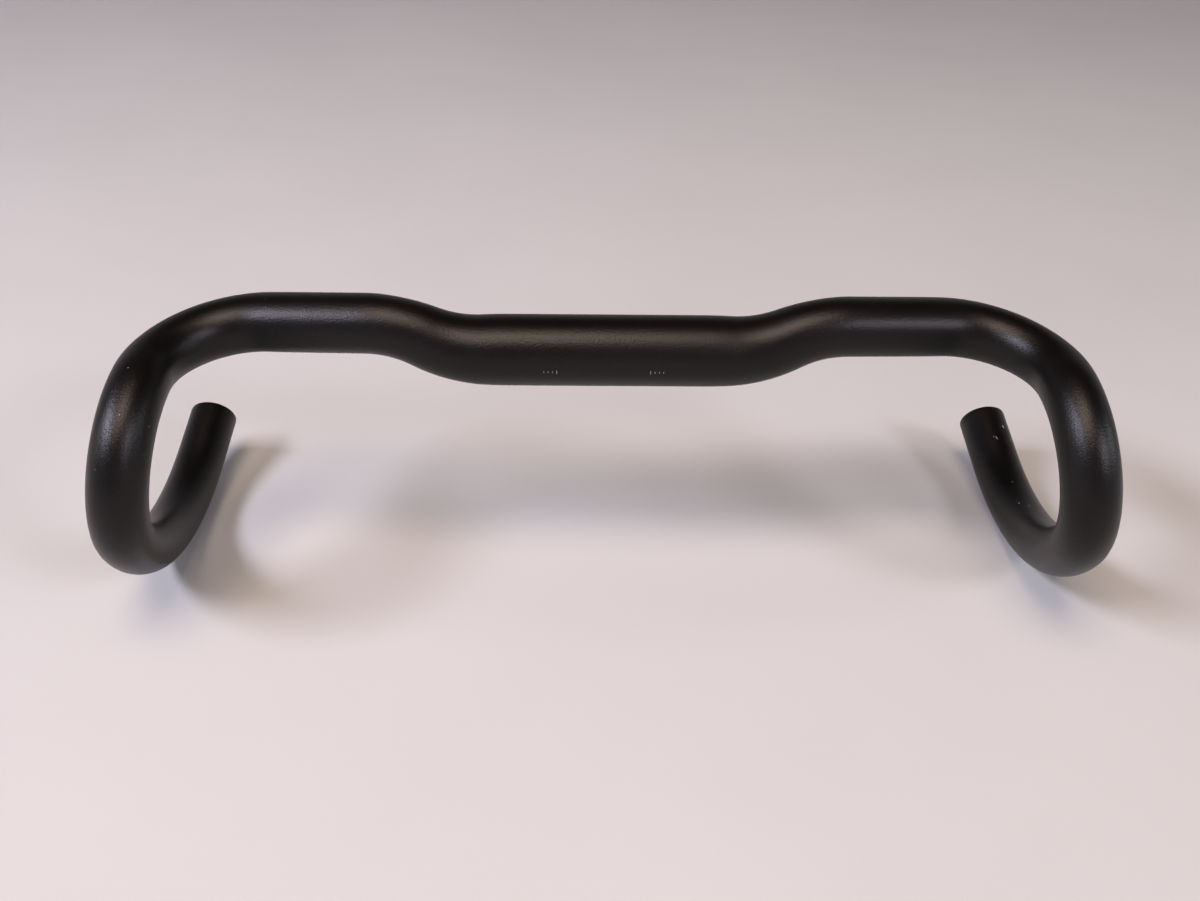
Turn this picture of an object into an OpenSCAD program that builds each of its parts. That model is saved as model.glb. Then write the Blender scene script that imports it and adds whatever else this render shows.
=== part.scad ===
// Drop handlebar with raised tops for a bicycle, standing as it is mounted: ramps level.
// One bent and tapered tube, butted inside and open at both ends.
// Millimetres. The origin is the middle of the clamp zone. +X runs along the clamp zone,
// -Y points forward to the hooks and +Z points up.

/* [Tube] */
// diameter of the stem clamp zone
clamp_d = 31.8; // [31.2:0.1:32]
// diameter of the side tops
top_d = 26.7; // [26:0.1:28]
// diameter of the hooks and drops, where levers and tape go
grip_d = 23.8; // [23.6:0.1:24.2]
// wall thickness in the clamp zone
clamp_wall = 2.5; // [2.2:0.1:3]
// wall thickness of the side tops
top_wall = 2.1; // [1.8:0.1:2.4]
// wall thickness of the hooks and drops
grip_wall = 2; // [1.6:0.1:2.4]

/* [Rise] */
// distance from the middle to the first rise vertex
rise_in = 67; // [62:0.5:70]
// distance from the middle to the second rise vertex
rise_out = 92.5; // [90:0.5:100]
// height of the tops above the clamp zone
rise_h = 12; // [10:0.5:15]
// backward step over the rise
rise_back = 1; // [0:0.5:2]
// centreline radius of the lower rise bend
rise_r1 = 60; // [50:1:65]
// centreline radius of the upper rise bend
rise_r2 = 55; // [45:1:58]

/* [Tops and corners] */
// half width at the corner vertex
corner_x = 193; // [185:1:215]
// backward sweep of the tops at the corner vertex
corner_back = 14.5; // [8:0.5:16]
// height of the corner vertex above the clamp zone
corner_z = 5.5; // [4:0.5:10]
// centreline radius of the corner bend
corner_r = 39; // [36:0.5:42]

/* [Hooks] */
// downward slope of the ramp, degrees
ramp_slope = 2.5; // [0:0.5:6]
// straight length of the ramp
ramp_len = 0.5; // [0.5:0.5:12]
// outward flare of the hooks, degrees
flare = 10; // [4:0.5:14]
// inward turn of the ramps seen from above, degrees
toe = 1; // [0:0.5:3]
// centreline radius of the front bend
front_r = 40; // [36:0.5:44]
// angle of the front bend
front_a = 123; // [118:0.5:126]
// centreline radius of the lower bend
drop_r = 101; // [90:1:110]
// angle of the lower bend
drop_a = 74; // [68:0.5:76]
// straight length of the drop end
drop_len = 26; // [22:1:50]

/* [Hidden] */
// taper from the clamp zone to the tops
rise_lead = 4;
rise_taper = 42;
// taper from the tops to the grips, counted from the ends of the corner bend
corner_lead = 3;
corner_tail = 16;
// edge break of the tube mouths
mouth_chamfer = 0.6;
bore_over = 1;
// round lengths that follow each other differ by this in radius, and the thinner one
// runs a little way into the other, so that each joint is a clean step too fine to feel
seam = 0.04;
seam_lap = 0.3;
// the tapered lengths are made of rings, and run into the round lengths at both ends
ring_n = 32;
rise_steps = 12;
corner_steps = 13;
ring_inset = 2 * seam;
ring_lap = 0.8;
$fn = 72;
full_turn = 360;
half_turn = 180;
quarter_turn = 90;

function unit(v) = v / norm(v);

// side plane of the hook: forward direction, down direction and their normal
fwd = [-sin(toe), -cos(toe), 0];
down_raw = [sin(flare), 0, -cos(flare)];
down = unit(down_raw - fwd * (down_raw * fwd));
plane_n = cross(fwd, down);
ramp_dir = fwd * cos(ramp_slope) + down * sin(ramp_slope);

// the upper path: straight lengths with rounded vertices
v_top = [[0, 0, 0], [rise_in, 0, 0], [rise_out, rise_back, rise_h],
         [corner_x, corner_back, corner_z]];
top_dir = unit(v_top[3] - v_top[2]);
corner_turn = acos(top_dir * ramp_dir);
ramp_end = v_top[3] + ramp_dir * (corner_r * tan(corner_turn / 2) + ramp_len);
path_v = concat(v_top, [ramp_end]);
path_r = [0, rise_r1, rise_r2, corner_r, 0];
path_u = [for (i = [0:3]) unit(path_v[i + 1] - path_v[i])];
path_a = [for (i = [0:4]) i == 0 || i == 4 ? 0 : acos(path_u[i - 1] * path_u[i])];
path_t = [for (i = [0:4]) path_r[i] * tan(path_a[i] / 2)];
path_l = [for (i = [0:3]) norm(path_v[i + 1] - path_v[i]) - path_t[i] - path_t[i + 1]];
arc_l = [for (i = [0:4]) path_r[i] * path_a[i] * PI / half_turn];

function bend_in(i) = path_u[i] - path_u[i - 1] * (path_u[i - 1] * path_u[i]);
function bend_start(i) = path_v[i] - path_u[i - 1] * path_t[i];
function bend_normal(i) = unit(bend_in(i));
// arc length at which the straight before vertex i ends
function arc_at(i) = path_l[i - 1] + (i > 1 ? arc_at(i - 1) + arc_l[i - 1] : 0);

// point and heading on the bend at vertex i, q degrees into it
function bend_point(i, q) = bend_start(i) + path_u[i - 1] * (path_r[i] * sin(q))
    + bend_normal(i) * (path_r[i] * (1 - cos(q)));
function bend_heading(i, q) = path_u[i - 1] * cos(q) + bend_normal(i) * sin(q);

// point and heading at arc length s of the upper path
function leg_of(s) = s < arc_at(1) + arc_l[1] / 2 ? 0 : s < arc_at(2) + arc_l[2] / 2 ? 1 : 2;
function near_bend(s) = [for (i = [1:3]) if (s > arc_at(i) && s < arc_at(i) + arc_l[i]) i];
function to_angle(i, s) = (s - arc_at(i)) / path_r[i] * half_turn / PI;
function straight_point(i, s) = i == 0 ? [s, 0, 0]
    : path_v[i] + path_u[i] * (path_t[i] + s - arc_at(i) - arc_l[i]);
function point_at(s) = len(near_bend(s)) > 0
    ? bend_point(near_bend(s)[0], to_angle(near_bend(s)[0], s))
    : straight_point(leg_of(s), s);
function heading_at(s) = len(near_bend(s)) > 0
    ? bend_heading(near_bend(s)[0], to_angle(near_bend(s)[0], s)) : path_u[leg_of(s)];

rise_from = arc_at(1) - rise_lead;
rise_to = rise_from + rise_taper;
corner_from = arc_at(3) - corner_lead;
corner_to = arc_at(3) + arc_l[3] - corner_tail;

// the lower path lies in the side plane: x forward, y down
p_front = [front_r * (-sin(ramp_slope)), front_r * cos(ramp_slope)];
a_front = ramp_slope + front_a;
p_front_end = p_front + front_r * [sin(a_front), -cos(a_front)];
p_drop = p_front_end + drop_r * [-sin(a_front), cos(a_front)];
a_end = a_front + drop_a;
p_end = p_drop + drop_r * [sin(a_end), -cos(a_end)];
drop_lap = seam_lap / drop_r * half_turn / PI;

// places its children with z along direction t
module along(p, t) {
    side = unit(cross([0, 0, 1], t));
    up = cross(t, side);
    multmatrix([[side[0], up[0], t[0], p[0]],
                [side[1], up[1], t[1], p[1]],
                [side[2], up[2], t[2], p[2]]])
        children();
}

// a straight length, a hair thinner than its neighbours and run into them at both ends
module rod(p, t, d, l) {
    along(p - t * seam_lap, t) cylinder(d = d - 2 * seam, h = l + 2 * seam_lap);
}

// part of the bend at vertex i, from angle q0 to q1, of constant diameter
module bend(i, q0, q1, d) {
    out = -bend_normal(i);
    t = path_u[i - 1];
    n = cross(out, t);
    c = bend_start(i) + bend_normal(i) * path_r[i];
    multmatrix([[out[0], t[0], n[0], c[0]],
                [out[1], t[1], n[1], c[1]],
                [out[2], t[2], n[2], c[2]]])
        rotate([0, 0, q0])
            rotate_extrude(angle = q1 - q0)
                translate([path_r[i], 0]) circle(d = d);
}

// a tapered length of the upper path from arc length s0 to s1
module taper(s0, s1, d0, d1, steps) {
    span = s1 - s0 + 2 * ring_lap;
    rings = [for (k = [0:steps])
        let (s = s0 - ring_lap + span * k / steps,
             f = min(1, max(0, (s - s0) / (s1 - s0))),
             r = (d0 + (d1 - d0) * f) / 2 - ring_inset,
             t = heading_at(s),
             side = unit(cross([0, 0, 1], t)),
             up = cross(t, side),
             p = point_at(s))
        for (j = [0:ring_n - 1])
            let (q = (j + 0.5) * full_turn / ring_n)
            p + side * (r * cos(q)) + up * (r * sin(q))];
    skin = [for (k = [0:steps - 1]) for (j = [0:ring_n - 1])
        let (a = k * ring_n + j,
             b = k * ring_n + (j + 1) % ring_n,
             c = a + ring_n,
             d = b + ring_n)
        for (f = [[a, c, b], [b, c, d]]) f];
    near_cap = [[for (j = [0:ring_n - 1]) j]];
    far_cap = [[for (j = [ring_n - 1:-1:0]) steps * ring_n + j]];
    polyhedron(points = rings, faces = concat(skin, near_cap, far_cap));
}

// the lower path: two round bends and the straight end
module hook(d, over) {
    multmatrix([[fwd[0], down[0], plane_n[0], ramp_end[0]],
                [fwd[1], down[1], plane_n[1], ramp_end[1]],
                [fwd[2], down[2], plane_n[2], ramp_end[2]]]) {
        translate(p_front) rotate([0, 0, ramp_slope - quarter_turn])
            rotate_extrude(angle = front_a)
                translate([front_r, 0]) circle(d = d);
        translate(p_drop) rotate([0, 0, a_front - quarter_turn - drop_lap])
            rotate_extrude(angle = drop_a + 2 * drop_lap)
                translate([drop_r, 0]) circle(d = d - 2 * seam);
        translate(p_end) rotate([0, 0, a_end]) rotate([0, quarter_turn, 0])
            drop_end(d, over);
    }
}

module drop_end(d, over) {
    if (over > 0) cylinder(d = d, h = drop_len + over);
    else {
        cylinder(d = d, h = drop_len - mouth_chamfer);
        translate([0, 0, drop_len - mouth_chamfer])
            cylinder(d1 = d, d2 = d - 2 * mouth_chamfer, h = mouth_chamfer);
    }
}

// one half of the tube as a solid rod of the given diameters
module half(dc, dt, dg, over) {
    taper(rise_from, rise_to, dc, dt, rise_steps);
    bend(2, to_angle(2, rise_to), path_a[2], dt);
    rod(bend_point(2, path_a[2]), path_u[2], dt, path_l[2] - corner_lead - seam_lap);
    taper(corner_from, corner_to, dt, dg, corner_steps);
    bend(3, to_angle(3, corner_to), path_a[3], dg);
    rod(bend_point(3, path_a[3]), path_u[3], dg, ramp_len);
    hook(dg, over);
}

module tube_form(dc, dt, dg, over) {
    rotate([0, quarter_turn, 0]) cylinder(d = dc, h = 2 * rise_from, center = true);
    half(dc, dt, dg, over);
    mirror([1, 0, 0]) half(dc, dt, dg, over);
}

module handlebar_tube() {
    color([0.05, 0.05, 0.05])
        difference() {
            tube_form(clamp_d, top_d, grip_d, 0);
            tube_form(clamp_d - 2 * clamp_wall, top_d - 2 * top_wall,
                      grip_d - 2 * grip_wall, bore_over);
        }
}

handlebar_tube();
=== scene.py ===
"""A drop handlebar with raised tops, level as it is mounted, its hooks on a pale floor.

Metres, in the frame of the part: +X along the clamp zone, -Y forward, +Z up.
"""

import math
import random

import bmesh
import bpy
from mathutils import Matrix, Vector


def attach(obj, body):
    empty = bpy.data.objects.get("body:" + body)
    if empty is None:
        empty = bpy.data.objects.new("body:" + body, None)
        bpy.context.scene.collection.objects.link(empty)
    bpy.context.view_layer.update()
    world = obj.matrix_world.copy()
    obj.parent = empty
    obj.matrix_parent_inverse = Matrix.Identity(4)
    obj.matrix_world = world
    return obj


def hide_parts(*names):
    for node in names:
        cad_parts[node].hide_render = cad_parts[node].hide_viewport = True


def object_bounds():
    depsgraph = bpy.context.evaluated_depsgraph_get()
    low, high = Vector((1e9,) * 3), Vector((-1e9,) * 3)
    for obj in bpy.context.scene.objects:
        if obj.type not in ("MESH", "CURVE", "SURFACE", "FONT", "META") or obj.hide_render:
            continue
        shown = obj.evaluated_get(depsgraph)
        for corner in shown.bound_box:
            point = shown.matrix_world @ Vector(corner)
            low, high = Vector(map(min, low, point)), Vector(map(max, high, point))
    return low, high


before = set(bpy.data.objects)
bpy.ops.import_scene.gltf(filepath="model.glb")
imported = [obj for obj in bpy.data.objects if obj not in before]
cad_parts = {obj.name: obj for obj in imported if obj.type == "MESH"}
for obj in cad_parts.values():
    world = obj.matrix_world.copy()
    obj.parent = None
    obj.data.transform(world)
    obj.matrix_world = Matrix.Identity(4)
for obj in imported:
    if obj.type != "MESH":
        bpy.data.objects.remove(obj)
cad_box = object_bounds()

DUST_SEED = 7
random.seed(DUST_SEED)

MM = 0.001
FULL_TURN = 2 * math.pi
QUARTER_TURN = math.pi / 2

# The tube, as in the part's source

CLAMP_R = 15.9 * MM
TOP_R = 13.35 * MM
GRIP_R = 11.9 * MM
CLAMP_WALL = 2.5 * MM
TOP_WALL = 2.1 * MM
GRIP_WALL = 2.0 * MM

RISE_IN = 67 * MM
RISE_OUT = 92.5 * MM
RISE_HEIGHT = 12 * MM
RISE_BACK = 1 * MM
RISE_RADII = (60 * MM, 55 * MM)
CORNER = Vector((193, 14.5, 5.5)) * MM
CORNER_RADIUS = 39 * MM

RAMP_SLOPE = math.radians(2.5)
RAMP_LENGTH = 0.5 * MM
FLARE = math.radians(10)
TOE = math.radians(1)
FRONT_RADIUS = 40 * MM
FRONT_ANGLE = math.radians(123)
DROP_RADIUS = 101 * MM
DROP_ANGLE = math.radians(74)
DROP_LENGTH = 26 * MM

# The rise taper starts a little before the first rise bend
RISE_LEAD = 4 * MM
RISE_TAPER = 42 * MM
# The corner taper starts a little before the corner bend and stops before that bend ends
CORNER_LEAD = 3 * MM
CORNER_TAIL = 16 * MM
# Both tapers begin and end softly: the radius is averaged over this far each way
TAPER_EASE = 6 * MM
EASE_TAPS = 4

# Fineness of the tube's skin, and the rounding of its mouths

AROUND = 80
OUTER_STEP = 2 * MM
BORE_STEP = 5 * MM
LIP = 0.6 * MM
LIP_STEPS = 4
WELD = 0.0001 * MM
# The skin lies this far inside the solid, so that the marks on it stay within the part's box
SKIN_TRIM = 0.1 * MM


# The centreline of the right half

def line_piece(start, heading, length):
    return {"start": start, "heading": heading, "length": length}


def arc_piece(start, heading, inward, radius, angle):
    return {"start": start, "heading": heading, "inward": inward,
            "radius": radius, "length": radius * angle}


def locate_on(piece, s):
    """Point and heading at arc length s of one piece."""
    if "radius" not in piece:
        return piece["start"] + piece["heading"] * s, piece["heading"]
    turn = s / piece["radius"]
    ahead = piece["heading"] * math.sin(turn)
    aside = piece["inward"] * (1 - math.cos(turn))
    heading = piece["heading"] * math.cos(turn) + piece["inward"] * math.sin(turn)
    return piece["start"] + (ahead + aside) * piece["radius"], heading


def end_of(piece):
    return locate_on(piece, piece["length"])


def rounded(corners, radii):
    """Pieces of a path through corners, each inner corner rounded to its radius."""
    legs = [(b - a).normalized() for a, b in zip(corners, corners[1:])]
    turns = [a.angle(b) for a, b in zip(legs, legs[1:])]
    cuts = [0] + [r * math.tan(t / 2) for r, t in zip(radii, turns)] + [0]
    pieces = []
    for i, leg in enumerate(legs):
        length = (corners[i + 1] - corners[i]).length - cuts[i] - cuts[i + 1]
        pieces.append(line_piece(corners[i] + leg * cuts[i], leg, length))
        if i < len(turns):
            start, heading = end_of(pieces[-1])
            inward = (legs[i + 1] - leg * leg.dot(legs[i + 1])).normalized()
            pieces.append(arc_piece(start, heading, inward, radii[i], turns[i]))
    return pieces


def side_plane():
    """Forward and down directions of the plane that the right hook lies in."""
    forward = Vector((-math.sin(TOE), -math.cos(TOE), 0))
    down = Vector((math.sin(FLARE), 0, -math.cos(FLARE)))
    return forward, (down - forward * down.dot(forward)).normalized()


def right_half():
    """The clamp zone, rise, top, corner and ramp, then the two bends and the end of the hook."""
    forward, down = side_plane()
    ramp = forward * math.cos(RAMP_SLOPE) + down * math.sin(RAMP_SLOPE)
    top_end = Vector((RISE_OUT, RISE_BACK, RISE_HEIGHT))
    turn = (CORNER - top_end).angle(ramp)
    ramp_end = CORNER + ramp * (CORNER_RADIUS * math.tan(turn / 2) + RAMP_LENGTH)
    corners = [Vector((0, 0, 0)), Vector((RISE_IN, 0, 0)), top_end, CORNER, ramp_end]
    pieces = rounded(corners, [*RISE_RADII, CORNER_RADIUS])
    for radius, angle in ((FRONT_RADIUS, FRONT_ANGLE), (DROP_RADIUS, DROP_ANGLE)):
        start, heading = end_of(pieces[-1])
        slope = math.atan2(heading.dot(down), heading.dot(forward))
        inward = down * math.cos(slope) - forward * math.sin(slope)
        pieces.append(arc_piece(start, heading, inward, radius, angle))
    pieces.append(line_piece(*end_of(pieces[-1]), DROP_LENGTH))
    return pieces


PATH = right_half()
RISE_BEND = 1
CORNER_BEND = 5
STARTS = [sum(p["length"] for p in PATH[:i]) for i in range(len(PATH) + 1)]
HALF_LENGTH = STARTS[-1]
RISE_FROM = STARTS[RISE_BEND] - RISE_LEAD
RISE_TO = RISE_FROM + RISE_TAPER
CORNER_FROM = STARTS[CORNER_BEND] - CORNER_LEAD
CORNER_TO = STARTS[CORNER_BEND + 1] - CORNER_TAIL
JOINT_SLACK = 0.000001 * MM


def locate(s):
    """Point and heading at arc length s from the middle, s at least 0."""
    i = max(k for k in range(len(PATH)) if STARTS[k] <= s + JOINT_SLACK)
    return locate_on(PATH[i], s - STARTS[i])


def share(s, start, stop):
    return min(1, max(0, (s - start) / (stop - start)))


def tapered(s, clamp, top, grip):
    """A size that goes from clamp to top over the rise and to grip over the corner, eased."""
    taps = [s + TAPER_EASE * k / EASE_TAPS for k in range(-EASE_TAPS, EASE_TAPS + 1)]
    rise = sum(share(t, RISE_FROM, RISE_TO) for t in taps) / len(taps)
    corner = sum(share(t, CORNER_FROM, CORNER_TO) for t in taps) / len(taps)
    return clamp + (top - clamp) * rise + (grip - top) * corner


def outer_radius(s):
    return tapered(s, CLAMP_R, TOP_R, GRIP_R) - SKIN_TRIM


def bore_radius(s):
    wall = tapered(s, CLAMP_WALL, TOP_WALL, GRIP_WALL)
    return tapered(s, CLAMP_R, TOP_R, GRIP_R) - wall


def steady_frames(stations):
    """Point, heading and two side directions at each station, without twist between them."""
    frames = []
    side = Vector((0, 0, 1))
    for s in stations:
        point, heading = locate(s)
        side = (side - heading * side.dot(heading)).normalized()
        frames.append((point, heading, side, heading.cross(side)))
    return frames


def spaced(length, step):
    count = math.ceil(length / step)
    return [length * k / count for k in range(count + 1)]


def on_tube(s, angle):
    """Point and outward normal on the right half's skin.

    Angle 0 is the top of the clamp zone and positive is backward, carried on without twist.
    """
    point, _, side, cross = steady_frames(spaced(s, OUTER_STEP))[-1]
    out = side * math.cos(angle) - cross * math.sin(angle)
    return point + out * outer_radius(s), out


# Meshes

def mesh_object(name, bm, material, smooth=True):
    mesh = bpy.data.meshes.new(name)
    bm.normal_update()
    bm.to_mesh(mesh)
    bm.free()
    mesh.polygons.foreach_set("use_smooth", [smooth] * len(mesh.polygons))
    mesh.materials.append(material)
    obj = bpy.data.objects.new(name, mesh)
    bpy.context.scene.collection.objects.link(obj)
    return obj


def ring(bm, point, side, cross, radius):
    return [bm.verts.new(point + (side * math.cos(a) + cross * math.sin(a)) * radius)
            for a in (FULL_TURN * k / AROUND for k in range(AROUND))]


def bridge(bm, near, far):
    """Faces between two rings of as many vertices."""
    for k in range(len(near)):
        n = (k + 1) % len(near)
        bm.faces.new((near[k], near[n], far[n], far[k]))


def tube_rings(bm):
    """Rings of the right half, from the middle out along the skin and back in the bore."""
    shoulder = HALF_LENGTH - LIP
    skin = spaced(shoulder, OUTER_STEP)
    rings = [ring(bm, p, side, cross, outer_radius(s))
             for s, (p, _, side, cross) in zip(skin, steady_frames(skin))]
    end, heading, side, cross = steady_frames([*skin, HALF_LENGTH])[-1]
    for k in range(1, LIP_STEPS + 1):
        turn = QUARTER_TURN * k / LIP_STEPS
        back = end - heading * LIP * (1 - math.sin(turn))
        radius = outer_radius(HALF_LENGTH) - LIP * (1 - math.cos(turn))
        rings.append(ring(bm, back, side, cross, radius))
    bore = spaced(HALF_LENGTH, BORE_STEP)
    inner = [ring(bm, p, side, cross, bore_radius(s))
             for s, (p, _, side, cross) in zip(bore, steady_frames(bore))]
    return rings + inner[::-1]


def tube_skin(material):
    """Both halves, welded where they meet in the middle."""
    bm = bmesh.new()
    for mirror in (False, True):
        rings = tube_rings(bm)
        if mirror:
            for vert in (v for r in rings for v in r):
                vert.co.x = -vert.co.x
        for near, far in zip(rings, rings[1:]):
            bridge(bm, near, far)
    bmesh.ops.remove_doubles(bm, verts=bm.verts, dist=WELD)
    bmesh.ops.recalc_face_normals(bm, faces=bm.faces)
    return mesh_object("handlebar_tube_skin", bm, material)


# Printed alignment ticks: short light lines either side of the middle, the inner ones tallest

TICK_MIDDLE = -1.6 * MM
TICK_FROM = 20.3 * MM
TICK_PITCH = 1.87 * MM
TICK_HEIGHTS = (1.9 * MM, 1.1 * MM, 0.9 * MM, 0.8 * MM)
TICK_WIDTH = 0.26 * MM
TICK_LINE = math.radians(-98)
TICK_LIFT = 0.015 * MM
TICK_ROWS = 6


def add_tick(bm, x, height):
    """A thin patch on the front of the clamp zone, centred on the line of the ticks."""
    radius = CLAMP_R + TICK_LIFT - SKIN_TRIM
    turn = height / radius
    angles = [TICK_LINE + turn * (k / TICK_ROWS - 0.5) for k in range(TICK_ROWS + 1)]
    left, right = [[bm.verts.new((x + edge, math.sin(a) * radius, math.cos(a) * radius))
                    for a in angles] for edge in (-TICK_WIDTH / 2, TICK_WIDTH / 2)]
    for k in range(TICK_ROWS):
        bm.faces.new((left[k], right[k], right[k + 1], left[k + 1]))


def ticks(material):
    bm = bmesh.new()
    for sign in (-1, 1):
        for k, height in enumerate(TICK_HEIGHTS):
            add_tick(bm, TICK_MIDDLE + sign * (TICK_FROM + k * TICK_PITCH), height)
    return mesh_object("alignment_ticks", bm, material)


# Dust: low chips, half sunk in the skin. Each has its side (1 right, -1 left), its distance
# from the middle along the tube, its place round the tube in degrees, its length along the
# tube, its width, and its turn on the skin in degrees.

DUST = [
    (1, 447 * MM, 126, 2.4 * MM, 0.8 * MM, 15),
    (1, 439 * MM, 156, 2.6 * MM, 0.45 * MM, 10),
    (1, 440 * MM, 162, 1.3 * MM, 0.35 * MM, -20),
    (1, 439 * MM, 112, 1.8 * MM, 0.4 * MM, 0),
    (1, 404 * MM, 160, 0.8 * MM, 0.4 * MM, 40),
    (1, 383 * MM, 172, 0.9 * MM, 0.5 * MM, 0),
    (1, 378 * MM, 156, 1.1 * MM, 0.5 * MM, 70),
    (-1, 226 * MM, -8, 0.5 * MM, 0.4 * MM, 0),
    (-1, 243 * MM, -20, 0.6 * MM, 0.5 * MM, 0),
    (-1, 448 * MM, 96, 1.2 * MM, 0.7 * MM, 0),
    (-1, 441 * MM, 94, 0.8 * MM, 0.5 * MM, 30),
]
RED_FLECK = (-1, 260.7 * MM, 10, 0.6 * MM, 0.5 * MM, 0)
DUST_POINTS = 8
DUST_HEIGHT = 0.06 * MM
DUST_TOP = 0.7
STRAY_COUNT = 14
STRAY_FROM = 120 * MM
STRAY_SIZE = (0.25 * MM, 0.4 * MM)
STRAY_AROUND = 90


def stray_dust():
    """A few more tiny chips, spread over the upper and outer side of both halves."""
    strays = []
    for _ in range(STRAY_COUNT):
        size = random.uniform(*STRAY_SIZE)
        hand = random.choice((-1, 1))
        s = random.uniform(STRAY_FROM, HALF_LENGTH - LIP)
        around = random.uniform(-STRAY_AROUND, STRAY_AROUND)
        strays.append((hand, s, around, size, size, 0))
    return strays


def add_chip(bm, chip):
    """A flat-topped chip of DUST_POINTS sides, narrower at its top."""
    hand, s, around, length, width, turn = chip
    point, out = on_tube(s, math.radians(around))
    along = Matrix.Rotation(math.radians(turn), 3, out) @ locate(s)[1]
    across = out.cross(along)
    rims = []
    for height, scale in ((-DUST_HEIGHT, 1.0), (DUST_HEIGHT, DUST_TOP)):
        rim = []
        for k in range(DUST_POINTS):
            a = FULL_TURN * k / DUST_POINTS
            place = (point + out * height + along * (math.cos(a) * length * scale / 2)
                     + across * (math.sin(a) * width * scale / 2))
            rim.append(bm.verts.new((place.x * hand, place.y, place.z)))
        rims.append(rim)
    bridge(bm, *rims)
    bm.faces.new(rims[0][::-1])
    bm.faces.new(rims[1])


def chips(name, places, material):
    bm = bmesh.new()
    for place in places:
        add_chip(bm, place)
    bmesh.ops.recalc_face_normals(bm, faces=bm.faces)
    return mesh_object(name, bm, material, False)


# Nodes that the materials share

def new_material(name):
    """A material, its node tree and its shader."""
    material = bpy.data.materials.new(name)
    material.use_nodes = True
    tree = material.node_tree
    return material, tree, tree.nodes["Principled BSDF"]


def noise(tree, pattern):
    """Noise fixed to the object. A pattern is a scale, a detail and a roughness."""
    place = tree.nodes.new("ShaderNodeTexCoord").outputs["Object"]
    node = tree.nodes.new("ShaderNodeTexNoise")
    for name, value in zip(("Scale", "Detail", "Roughness"), pattern):
        node.inputs[name].default_value = value
    tree.links.new(place, node.inputs["Vector"])
    return node.outputs["Fac"]


def tint(tree, shader, value, stops):
    """Gives the shader a colour that goes from the first stop to the second with the value."""
    node = tree.nodes.new("ShaderNodeValToRGB")
    for element, (at, rgb) in zip(node.color_ramp.elements, stops):
        element.position = at
        element.color = (*rgb, 1)
    tree.links.new(value, node.inputs["Fac"])
    tree.links.new(node.outputs["Color"], shader.inputs["Base Color"])


def spread(tree, value, low, high):
    """Maps 0..1 to low..high."""
    node = tree.nodes.new("ShaderNodeMapRange")
    tree.links.new(value, node.inputs["Value"])
    node.inputs["To Min"].default_value = low
    node.inputs["To Max"].default_value = high
    return node.outputs["Result"]


def bump(tree, value, depth, under=None):
    """The normal of a relief of this depth, laid over another where one is given."""
    node = tree.nodes.new("ShaderNodeBump")
    node.inputs["Distance"].default_value = depth
    node.inputs["Strength"].default_value = 1
    tree.links.new(value, node.inputs["Height"])
    if under:
        tree.links.new(under, node.inputs["Normal"])
    return node.outputs["Normal"]


# Satin black: a cloudy tint and gloss, under a fine grain and a coarser sparkle

TUBE_IOR = 1.34
TUBE_TINT = ((0.3, (0.0016, 0.001, 0.0009)), (0.7, (0.0028, 0.0019, 0.0018)))
TUBE_ROUGHNESS = (0.31, 0.37)
CLOUD_PATTERN = (30, 4, 0.6)
GRAIN_PATTERN = (1500, 2, 0.6)
SPARKLE_PATTERN = (1050, 3, 0.7)
GRAIN_DEPTH = 0.06 * MM
SPARKLE_DEPTH = 0.13 * MM


def satin_black():
    material, tree, shader = new_material("satin_black_tube")
    shader.inputs["IOR"].default_value = TUBE_IOR
    cloud = noise(tree, CLOUD_PATTERN)
    tint(tree, shader, cloud, TUBE_TINT)
    tree.links.new(spread(tree, cloud, *TUBE_ROUGHNESS), shader.inputs["Roughness"])
    grain = bump(tree, noise(tree, GRAIN_PATTERN), GRAIN_DEPTH)
    relief = bump(tree, noise(tree, SPARKLE_PATTERN), SPARKLE_DEPTH, grain)
    tree.links.new(relief, shader.inputs["Normal"])
    return material


# Ink of the ticks, worn in places

INK_TINT = ((0.35, (0.2, 0.19, 0.19)), (0.6, (0.36, 0.35, 0.34)))
INK_ROUGHNESS = 0.55
WEAR_PATTERN = (2500, 2, 0.5)


def tick_ink():
    material, tree, shader = new_material("tick_ink")
    shader.inputs["Roughness"].default_value = INK_ROUGHNESS
    tint(tree, shader, noise(tree, WEAR_PATTERN), INK_TINT)
    return material


# Dust and the red fleck

DUST_RGB = (0.3, 0.28, 0.28)
FLECK_RGB = (0.3, 0.03, 0.03)
DUST_ROUGHNESS = 0.9


def matt(name, rgb):
    material, _, shader = new_material(name)
    shader.inputs["Base Color"].default_value = (*rgb, 1)
    shader.inputs["Roughness"].default_value = DUST_ROUGHNESS
    return material


# Paint of the stage, barely cloudy

PAINT_TINT = ((0.3, (0.49, 0.49, 0.4753)), (0.7, (0.51, 0.51, 0.4947)))
PAINT_ROUGHNESS = 0.85
PAINT_PATTERN = (6, 3, 0.5)


def stage_paint():
    material, tree, shader = new_material("floor_paint")
    shader.inputs["Roughness"].default_value = PAINT_ROUGHNESS
    tint(tree, shader, noise(tree, PAINT_PATTERN), PAINT_TINT)
    return material


# Stage: a flat floor, with a curve and a wall round it that the photo's view doesn't reach

FLOOR_Z = cad_box[0][2]
FLAT_RADIUS = 2.0
CURVE_RADIUS = 0.8
CURVE_STEPS = 16
WALL_TOP = 1.5
STAGE_AROUND = 96
# A narrow flat rim keeps the curve's smooth shading off the rest of the floor
FLAT_RIM = 0.05


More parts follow.
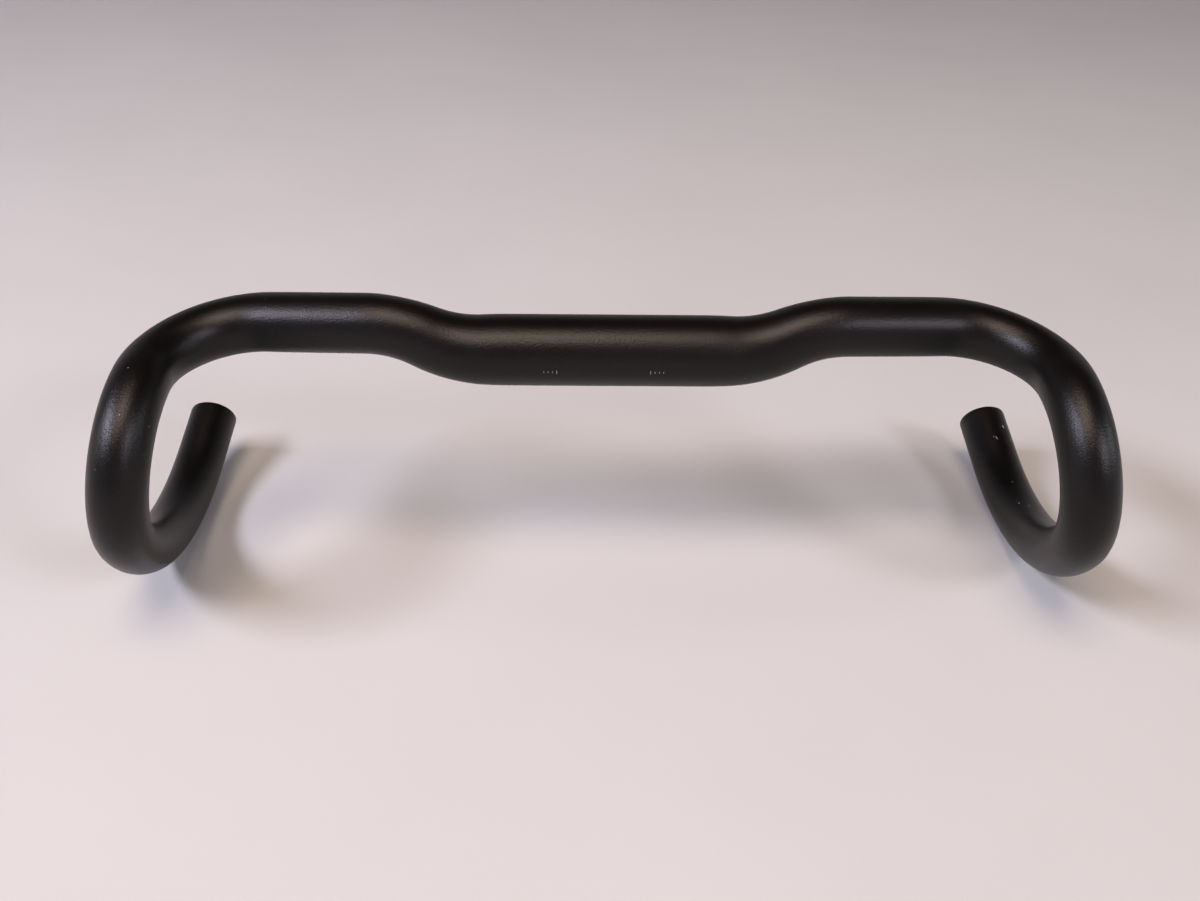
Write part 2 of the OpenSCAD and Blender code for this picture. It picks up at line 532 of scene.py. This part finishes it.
def floor():
    turns = [QUARTER_TURN * k / CURVE_STEPS for k in range(CURVE_STEPS + 1)]
    curve = [(FLAT_RADIUS + CURVE_RADIUS * math.sin(a), CURVE_RADIUS * (1 - math.cos(a)))
             for a in turns]
    profile = [(FLAT_RADIUS - FLAT_RIM, 0), *curve, (FLAT_RADIUS + CURVE_RADIUS, WALL_TOP)]
    around = [FULL_TURN * k / STAGE_AROUND for k in range(STAGE_AROUND)]
    bm = bmesh.new()
    rims = [[bm.verts.new((radius * math.cos(a), radius * math.sin(a), FLOOR_Z + height))
             for a in around] for radius, height in profile]
    bm.faces.new(rims[0])
    for near, far in zip(rims, rims[1:]):
        bridge(bm, far, near)
    mesh_object("floor", bm, stage_paint())


# Lamps: each has its name, place, size, power in watts and tint

LAMPS = [
    ("overhead", (-0.18, -0.66, 1.77), (0.9, 1.0), 28, (1, 0.77, 0.62)),
    ("window_left", (-1.68, -0.8, 1.68), (1.2, 0.4), 63, (0.84, 0.82, 1)),
    ("lamp_right", (1.65, -1.55, 1.41), (0.6, 0.5), 24, (0.95, 0.88, 1)),
    ("edge_right", (2.1, -0.3, 0.68), (0.45, 0.45), 5.5, (0.94, 0.99, 1)),
    ("edge_left", (-2.1, -0.3, 0.68), (0.45, 0.45), 3, (1, 0.99, 0.93)),
]
LAMPS_AIM = Vector((0, 0, -0.03))
SKY_RGB = (0.86, 0.87, 0.9)
SKY_STRENGTH = 0.01


def area_light(name, place, size, power, rgb):
    data = bpy.data.lights.new(name, "AREA")
    data.shape = "RECTANGLE"
    data.size, data.size_y = size
    data.energy = power
    data.color = rgb
    lamp = bpy.data.objects.new(name, data)
    turn = (LAMPS_AIM - Vector(place)).to_track_quat("-Z", "Y").to_matrix().to_4x4()
    lamp.matrix_world = Matrix.Translation(place) @ turn
    bpy.context.scene.collection.objects.link(lamp)


def sky():
    world = bpy.data.worlds.new("soft_sky")
    world.use_nodes = True
    background = world.node_tree.nodes["Background"]
    background.inputs["Color"].default_value = (*SKY_RGB, 1)
    background.inputs["Strength"].default_value = SKY_STRENGTH
    bpy.context.scene.world = world


# Camera: in front of the bar and above it, as in the photo

CAMERA_AT = Vector((-13.18, -418.37, 235.52)) * MM
CAMERA_TURN = [math.radians(a) for a in (55.324, -0.928, -0.866)]
CAMERA_LENS = 32.4
CAMERA_NEAR = 10 * MM


def camera():
    data = bpy.data.cameras.new("photo_camera")
    data.sensor_fit = "HORIZONTAL"
    data.lens = CAMERA_LENS
    data.clip_start = CAMERA_NEAR
    cam = bpy.data.objects.new("photo_camera", data)
    cam.location = CAMERA_AT
    cam.rotation_euler = CAMERA_TURN
    bpy.context.scene.collection.objects.link(cam)
    bpy.context.scene.camera = cam


def dress():
    """The tube's skin in place of the solid, and the marks on it."""
    skin = tube_skin(satin_black())
    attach(skin, "root")
    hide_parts("handlebar_tube")
    marks = [
        ticks(tick_ink()),
        chips("dust", DUST + stray_dust(), matt("pale_dust", DUST_RGB)),
        chips("red_fleck", [RED_FLECK], matt("red_fleck", FLECK_RGB)),
    ]
    for mark in marks:
        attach(mark, "root")


camera()
sky()
for lamp_values in LAMPS:
    area_light(*lamp_values)
floor()
dress()

bpy.context.scene.view_settings.view_transform = "Standard"
